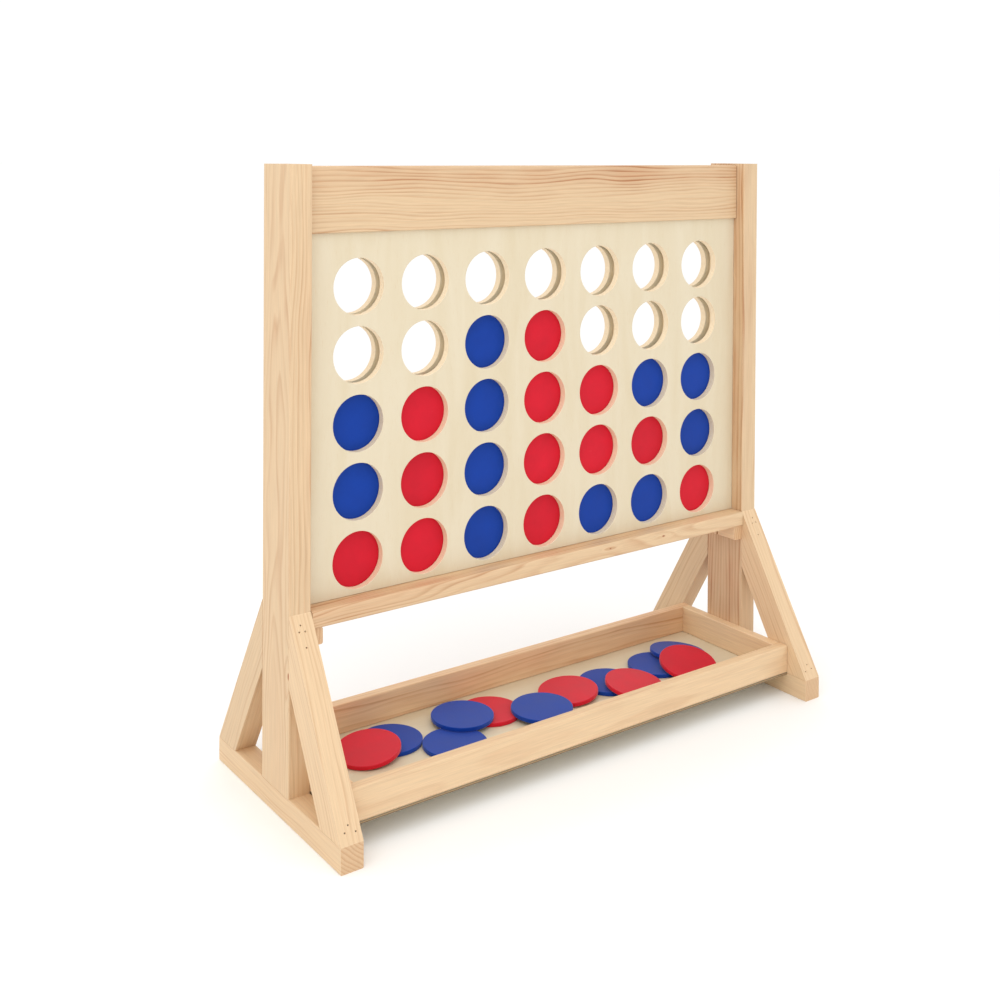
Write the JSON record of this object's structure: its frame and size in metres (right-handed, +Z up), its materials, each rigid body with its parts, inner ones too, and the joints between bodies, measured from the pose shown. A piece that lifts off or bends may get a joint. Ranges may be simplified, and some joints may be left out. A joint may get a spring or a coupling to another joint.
{
  "type": "giant four in a row game",
  "caption": "Wooden four-in-a-row lawn game on braced end frames, with drop-in discs, a pull-out release board and a disc tray.",
  "frame": {"origin": "on the ground, midway between the two end frames and midway along the feet", "axes": "+X along the board, +Y from its front to its back, +Z up"},
  "size_m": [0.936, 0.386, 0.921],
  "materials": {
    "pine": "planed softwood, clear matt oil",
    "birch_ply": "sanded plywood",
    "red_disc": "matt paint",
    "blue_disc": "matt paint",
    "steel": "bright wire and zinc plate"
  },
  "bodies": {
    "stand": {"post_left": "pine", "post_right": "pine", "foot_left": "pine", "foot_right": "pine", "brace_left_front": "pine", "brace_left_rear": "pine", "brace_right_front": "pine", "brace_right_rear": "pine", "top_rail_front": "pine", "top_rail_rear": "pine", "panel_front": "birch_ply", "panel_rear": "birch_ply", "column_dividers": "birch_ply", "side_strips": "birch_ply", "front_cleats": "pine", "rear_cleats": "pine", "tray_front": "pine", "tray_rear": "pine", "tray_left": "pine", "tray_right": "pine", "tray_floor": "birch_ply", "brads": "steel", "foot_screws": "steel"},
    "release_board": {"release_board": "pine"},
    "disc_c1_1": {"disc_c1_1": "red_disc"},
    "disc_c1_2": {"disc_c1_2": "blue_disc"},
    "disc_c1_3": {"disc_c1_3": "blue_disc"},
    "disc_c2_1": {"disc_c2_1": "red_disc"},
    "disc_c2_2": {"disc_c2_2": "red_disc"},
    "disc_c2_3": {"disc_c2_3": "red_disc"},
    "disc_c3_1": {"disc_c3_1": "blue_disc"},
    "disc_c3_2": {"disc_c3_2": "blue_disc"},
    "disc_c3_3": {"disc_c3_3": "blue_disc"},
    "disc_c3_4": {"disc_c3_4": "blue_disc"},
    "disc_c4_1": {"disc_c4_1": "red_disc"},
    "disc_c4_2": {"disc_c4_2": "red_disc"},
    "disc_c4_3": {"disc_c4_3": "red_disc"},
    "disc_c4_4": {"disc_c4_4": "red_disc"},
    "disc_c5_1": {"disc_c5_1": "blue_disc"},
    "disc_c5_2": {"disc_c5_2": "red_disc"},
    "disc_c5_3": {"disc_c5_3": "red_disc"},
    "disc_c6_1": {"disc_c6_1": "blue_disc"},
    "disc_c6_2": {"disc_c6_2": "red_disc"},
    "disc_c6_3": {"disc_c6_3": "blue_disc"},
    "disc_c7_1": {"disc_c7_1": "red_disc"},
    "disc_c7_2": {"disc_c7_2": "blue_disc"},
    "disc_c7_3": {"disc_c7_3": "blue_disc"},
    "tray_disc_1": {"tray_disc_1": "red_disc"},
    "tray_disc_2": {"tray_disc_2": "blue_disc"},
    "tray_disc_3": {"tray_disc_3": "blue_disc"},
    "tray_disc_4": {"tray_disc_4": "blue_disc"},
    "tray_disc_5": {"tray_disc_5": "red_disc"},
    "tray_disc_6": {"tray_disc_6": "blue_disc"},
    "tray_disc_7": {"tray_disc_7": "red_disc"},
    "tray_disc_8": {"tray_disc_8": "blue_disc"},
    "tray_disc_9": {"tray_disc_9": "red_disc"},
    "tray_disc_10": {"tray_disc_10": "blue_disc"},
    "tray_disc_11": {"tray_disc_11": "blue_disc"},
    "tray_disc_12": {"tray_disc_12": "red_disc"}
  },
  "joints": [
    {"name": "release_pull", "type": "slide", "parent": "stand", "child": "release_board", "axis": [0, -1, 0], "range_m": [0, 0.09]},
    {"name": "drop_c1_1", "type": "slide", "parent": "stand", "child": "disc_c1_1", "axis": [0, 0, 1], "range_m": [0, 0.63]},
    {"name": "drop_c1_2", "type": "slide", "parent": "disc_c1_1", "child": "disc_c1_2", "axis": [0, 0, 1], "range_m": [0, 0.53]},
    {"name": "drop_c1_3", "type": "slide", "parent": "disc_c1_2", "child": "disc_c1_3", "axis": [0, 0, 1], "range_m": [0, 0.43]},
    {"name": "drop_c2_1", "type": "slide", "parent": "stand", "child": "disc_c2_1", "axis": [0, 0, 1], "range_m": [0, 0.63]},
    {"name": "drop_c2_2", "type": "slide", "parent": "disc_c2_1", "child": "disc_c2_2", "axis": [0, 0, 1], "range_m": [0, 0.53]},
    {"name": "drop_c2_3", "type": "slide", "parent": "disc_c2_2", "child": "disc_c2_3", "axis": [0, 0, 1], "range_m": [0, 0.43]},
    {"name": "drop_c3_1", "type": "slide", "parent": "stand", "child": "disc_c3_1", "axis": [0, 0, 1], "range_m": [0, 0.63]},
    {"name": "drop_c3_2", "type": "slide", "parent": "disc_c3_1", "child": "disc_c3_2", "axis": [0, 0, 1], "range_m": [0, 0.53]},
    {"name": "drop_c3_3", "type": "slide", "parent": "disc_c3_2", "child": "disc_c3_3", "axis": [0, 0, 1], "range_m": [0, 0.43]},
    {"name": "drop_c3_4", "type": "slide", "parent": "disc_c3_3", "child": "disc_c3_4", "axis": [0, 0, 1], "range_m": [0, 0.33]},
    {"name": "drop_c4_1", "type": "slide", "parent": "stand", "child": "disc_c4_1", "axis": [0, 0, 1], "range_m": [0, 0.63]},
    {"name": "drop_c4_2", "type": "slide", "parent": "disc_c4_1", "child": "disc_c4_2", "axis": [0, 0, 1], "range_m": [0, 0.53]},
    {"name": "drop_c4_3", "type": "slide", "parent": "disc_c4_2", "child": "disc_c4_3", "axis": [0, 0, 1], "range_m": [0, 0.43]},
    {"name": "drop_c4_4", "type": "slide", "parent": "disc_c4_3", "child": "disc_c4_4", "axis": [0, 0, 1], "range_m": [0, 0.33]},
    {"name": "drop_c5_1", "type": "slide", "parent": "stand", "child": "disc_c5_1", "axis": [0, 0, 1], "range_m": [0, 0.63]},
    {"name": "drop_c5_2", "type": "slide", "parent": "disc_c5_1", "child": "disc_c5_2", "axis": [0, 0, 1], "range_m": [0, 0.53]},
    {"name": "drop_c5_3", "type": "slide", "parent": "disc_c5_2", "child": "disc_c5_3", "axis": [0, 0, 1], "range_m": [0, 0.43]},
    {"name": "drop_c6_1", "type": "slide", "parent": "stand", "child": "disc_c6_1", "axis": [0, 0, 1], "range_m": [0, 0.63]},
    {"name": "drop_c6_2", "type": "slide", "parent": "disc_c6_1", "child": "disc_c6_2", "axis": [0, 0, 1], "range_m": [0, 0.53]},
    {"name": "drop_c6_3", "type": "slide", "parent": "disc_c6_2", "child": "disc_c6_3", "axis": [0, 0, 1], "range_m": [0, 0.43]},
    {"name": "drop_c7_1", "type": "slide", "parent": "stand", "child": "disc_c7_1", "axis": [0, 0, 1], "range_m": [0, 0.63]},
    {"name": "drop_c7_2", "type": "slide", "parent": "disc_c7_1", "child": "disc_c7_2", "axis": [0, 0, 1], "range_m": [0, 0.53]},
    {"name": "drop_c7_3", "type": "slide", "parent": "disc_c7_2", "child": "disc_c7_3", "axis": [0, 0, 1], "range_m": [0, 0.43]},
    {"name": "lift_tray_10", "type": "slide", "parent": "stand", "child": "tray_disc_10", "axis": [0, 0, 1], "range_m": [0, 0.047]},
    {"name": "lift_tray_11", "type": "slide", "parent": "tray_disc_10", "child": "tray_disc_11", "axis": [0, 0, 1], "range_m": [0, 0.047]},
    {"name": "lift_tray_12", "type": "slide", "parent": "tray_disc_11", "child": "tray_disc_12", "axis": [0, 0, 1], "range_m": [0, 0.047]},
    {"name": "lift_tray_8", "type": "slide", "parent": "stand", "child": "tray_disc_8", "axis": [0, 0, 1], "range_m": [0, 0.047]},
    {"name": "lift_tray_9", "type": "slide", "parent": "tray_disc_8", "child": "tray_disc_9", "axis": [0, 0, 1], "range_m": [0, 0.047]},
    {"name": "lift_tray_5", "type": "slide", "parent": "tray_disc_8", "child": "tray_disc_5", "axis": [0, 0, 1], "range_m": [0, 0.047]},
    {"name": "lift_tray_7", "type": "slide", "parent": "tray_disc_5", "child": "tray_disc_7", "axis": [0, 0, 1], "range_m": [0, 0.047]},
    {"name": "lift_tray_6", "type": "slide", "parent": "tray_disc_7", "child": "tray_disc_6", "axis": [0, 0, 1], "range_m": [0, 0.047]},
    {"name": "lift_tray_3", "type": "slide", "parent": "tray_disc_5", "child": "tray_disc_3", "axis": [0, 0, 1], "range_m": [0, 0.047]},
    {"name": "lift_tray_4", "type": "slide", "parent": "tray_disc_3", "child": "tray_disc_4", "axis": [0, 0, 1], "range_m": [0, 0.047]},
    {"name": "lift_tray_2", "type": "slide", "parent": "stand", "child": "tray_disc_2", "axis": [0, 0, 1], "range_m": [0, 0.047]},
    {"name": "lift_tray_1", "type": "slide", "parent": "tray_disc_2", "child": "tray_disc_1", "axis": [0, 0, 1], "range_m": [0, 0.047]}
  ]
}
